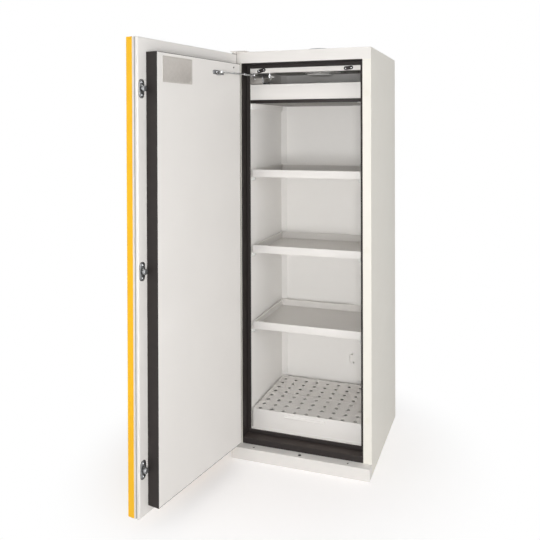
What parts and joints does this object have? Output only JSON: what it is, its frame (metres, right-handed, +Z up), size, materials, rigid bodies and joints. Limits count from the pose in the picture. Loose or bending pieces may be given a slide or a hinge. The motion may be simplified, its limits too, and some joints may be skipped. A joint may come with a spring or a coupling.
{
  "type": "flammable safety cabinet",
  "caption": "Tall free-standing fire-resistant cabinet for flammable liquids, hinged insulated door standing open, tray shelves, perforated spill tray and roof exhaust port.",
  "frame": {"origin": "middle of the footprint of base and sill, on the floor plane", "axes": "+X from the hinge side to the latch side, +Y from front to back, +Z up"},
  "size_m": [0.7733, 1.1453, 1.764],
  "materials": {
    "white_enamel": "smooth baked enamel, semi gloss",
    "yellow_enamel": "smooth baked enamel, semi gloss",
    "grey_enamel": "baked enamel in the upper compartment",
    "dark_seal": "extruded dark profile, satin",
    "edge_seal": "grey swelling seal strip",
    "fire_board": "pressed gypsum fibre board",
    "zinc_steel": "zinc plated steel, fine grain",
    "bright_steel": "polished steel",
    "black_plastic": "moulded black plastic",
    "white_plastic": "moulded white plastic",
    "plate_aluminium": "thin satin plate, blank",
    "galvanised": "galvanised sheet"
  },
  "bodies": {
    "cabinet": {"side_panel_left": "white_enamel", "side_panel_right": "white_enamel", "roof_panel": "white_enamel", "rear_panel": "white_enamel", "header_rail": "white_enamel", "base_pan": "galvanised", "sill_box": "white_enamel", "seal_bottom": "dark_seal", "seal_top": "dark_seal", "seal_left": "dark_seal", "seal_right": "dark_seal", "board_left": "fire_board", "board_right": "fire_board", "board_rear": "fire_board", "board_top": "fire_board", "board_floor": "fire_board", "liner_left": "white_enamel", "liner_right": "white_enamel", "liner_rear": "white_enamel", "liner_ceiling": "grey_enamel", "liner_floor": "white_enamel", "lintel": "white_enamel", "lintel_caps": "black_plastic", "fascia_panel": "white_enamel", "air_grille": "white_enamel", "release_housing": "grey_enamel", "exhaust_spigot": "galvanised", "valve_frame": "white_enamel", "supply_duct": "white_enamel", "shelf_rests": "white_plastic", "hinge_plate": "white_enamel", "floor_pin": "zinc_steel", "keepers": "white_plastic", "stay_wall_bracket": "bright_steel"},
    "door": {"door_skin": "yellow_enamel", "door_inner_pan": "white_enamel", "door_edge_seal": "edge_seal", "door_core": "fire_board", "hinge_blocks": "zinc_steel", "latch_plates": "zinc_steel", "handle_plate": "black_plastic", "block_face": "white_enamel", "block_sides": "dark_seal", "block_core": "fire_board", "data_plate": "plate_aluminium", "stay_door_bracket": "zinc_steel"},
    "latch": {"latch_bar": "zinc_steel"},
    "lever": {"door_handle": "black_plastic"},
    "lock": {"lock_cylinder": "bright_steel"},
    "stay_outer": {"stay_outer_tube": "bright_steel"},
    "stay_middle": {"stay_middle_tube": "bright_steel"},
    "stay_inner": {"stay_inner_tube": "bright_steel"},
    "stay_end": {"stay_rod": "bright_steel"},
    "shelf_1": {"shelf_lower": "white_enamel"},
    "shelf_2": {"shelf_middle": "white_enamel"},
    "shelf_3": {"shelf_upper": "white_enamel"},
    "tray": {"spill_tray": "white_enamel"},
    "insert": {"tray_insert": "white_enamel"},
    "valve": {"exhaust_valve": "white_enamel"},
    "feet": {"levelling_feet": "galvanised"}
  },
  "joints": [
    {"name": "door_hinge", "type": "hinge", "parent": "cabinet", "child": "door", "pos_m": [-0.291, -0.269, 0.9], "axis": [0, 0, -1], "range_deg": [-100, 0]},
    {"name": "lever_turn", "type": "hinge", "parent": "door", "child": "lever", "pos_m": [-0.43749, -0.79455, 1.01], "axis": [0.9848, -0.1736, 0], "range_deg": [0, 90]},
    {"name": "latch_slide", "type": "slide", "parent": "door", "child": "latch", "axis": [0, 0, 1], "range_m": [0, 0.012]},
    {"name": "lock_turn", "type": "hinge", "parent": "door", "child": "lock", "pos_m": [-0.43749, -0.79455, 1.062], "axis": [0.9848, -0.1736, 0], "range_deg": [0, 90]},
    {"name": "stay_swivel", "type": "hinge", "parent": "cabinet", "child": "stay_outer", "pos_m": [-0.207, -0.074, 1.639], "axis": [0.0775, -0.043, 0.9961], "range_deg": [0, 50.12]},
    {"name": "stay_slide_1", "type": "slide", "parent": "stay_outer", "child": "stay_middle", "axis": [-0.1073, -0.9936, -0.0345], "range_m": [-0.08043, 0]},
    {"name": "stay_slide_2", "type": "slide", "parent": "stay_middle", "child": "stay_inner", "axis": [-0.1073, -0.9936, -0.0345], "range_m": [-0.08043, 0]},
    {"name": "stay_slide_3", "type": "slide", "parent": "stay_inner", "child": "stay_end", "axis": [-0.1073, -0.9936, -0.0345], "range_m": [-0.08043, 0]},
    {"name": "shelf_lower_pull", "type": "slide", "parent": "cabinet", "child": "shelf_1", "axis": [0, -1, 0], "range_m": [0, 0.11]},
    {"name": "shelf_middle_pull", "type": "slide", "parent": "cabinet", "child": "shelf_2", "axis": [0, -1, 0], "range_m": [0, 0.11]},
    {"name": "shelf_upper_pull", "type": "slide", "parent": "cabinet", "child": "shelf_3", "axis": [0, -1, 0], "range_m": [0, 0.11]},
    {"name": "tray_pull", "type": "slide", "parent": "cabinet", "child": "tray", "axis": [0, -1, 0], "range_m": [0, 0.11]},
    {"name": "insert_lift", "type": "slide", "parent": "tray", "child": "insert", "axis": [0, 0, 1], "range_m": [0, 0.12]},
    {"name": "valve_close", "type": "slide", "parent": "cabinet", "child": "valve", "axis": [0, 0, 1], "range_m": [0, 0.011]},
    {"name": "feet_extend", "type": "slide", "parent": "cabinet", "child": "feet", "axis": [0, 0, -1], "range_m": [0, 0.02]}
  ],
  "couplings": [
    {"joint": "latch_slide", "follows": "lever_turn", "m_per_rad": 0.00763},
    {"joint": "stay_swivel", "follows": "door_hinge", "ratio": -0.49917},
    {"joint": "stay_slide_1", "follows": "door_hinge", "m_per_rad": 0.045911},
    {"joint": "stay_slide_2", "follows": "door_hinge", "m_per_rad": 0.045911},
    {"joint": "stay_slide_3", "follows": "door_hinge", "m_per_rad": 0.045911}
  ]
}
